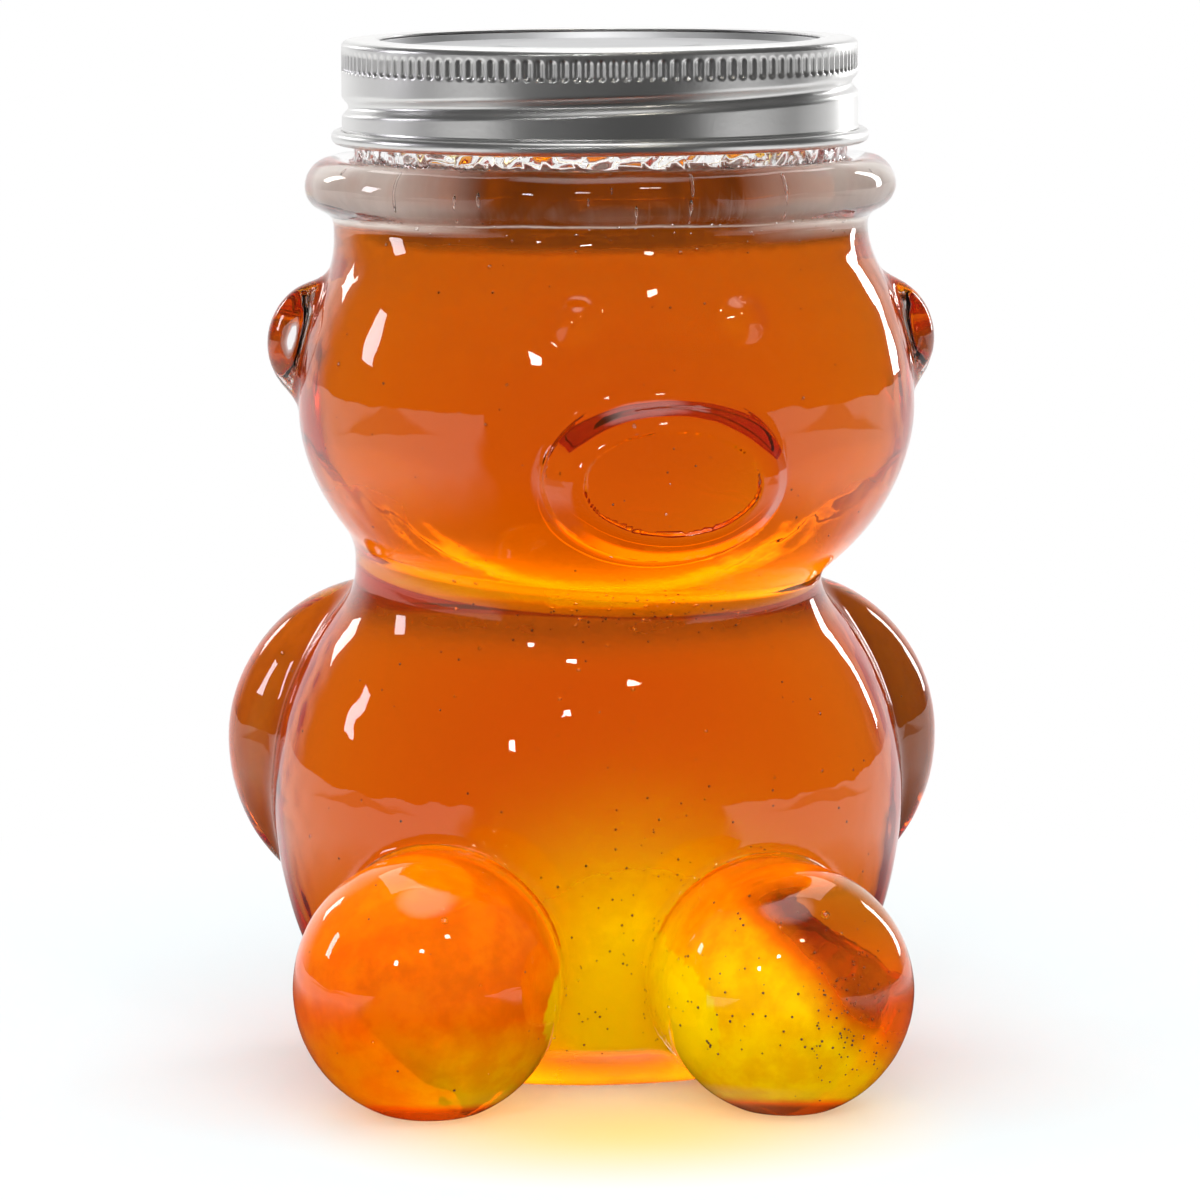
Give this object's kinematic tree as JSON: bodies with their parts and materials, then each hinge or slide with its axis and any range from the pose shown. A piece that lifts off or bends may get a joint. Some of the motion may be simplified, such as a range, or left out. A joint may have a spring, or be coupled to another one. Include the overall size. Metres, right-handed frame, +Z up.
{
  "type": "honey bear bottle",
  "caption": "Glass jar shaped as a sitting bear, full of honey, closed by a sealing disc under a knurled screw band.",
  "frame": {"origin": "on the lid's axis, at the plane that the jar stands on", "axes": "+Z up along the lid's axis, -Y the way the bear's feet point, +X to the bear's left"},
  "size_m": [0.1012, 0.1119, 0.144],
  "materials": {
    "jar_glass": "gloss",
    "honey": "gloss",
    "disc_tinplate": "satin",
    "seal": "satin",
    "band_tinplate": "satin"
  },
  "bodies": {
    "jar": {"glass_jar": "jar_glass", "honey": "honey"},
    "lid": {"lid_disc": "disc_tinplate", "sealing_ring": "seal"},
    "band": {"screw_band": "band_tinplate"}
  },
  "joints": [
    {"name": "lid_rise", "type": "slide", "parent": "jar", "child": "lid", "axis": [0, 0, 1], "range_m": [0, 0.00794]},
    {"name": "band_turn", "type": "hinge", "parent": "lid", "child": "band", "pos_m": [0, 0, 0.1366], "axis": [0, 0, 1], "range_deg": [0, 450]}
  ],
  "couplings": [
    {"joint": "lid_rise", "follows": "band_turn", "m_per_rad": 0.0010106}
  ]
}
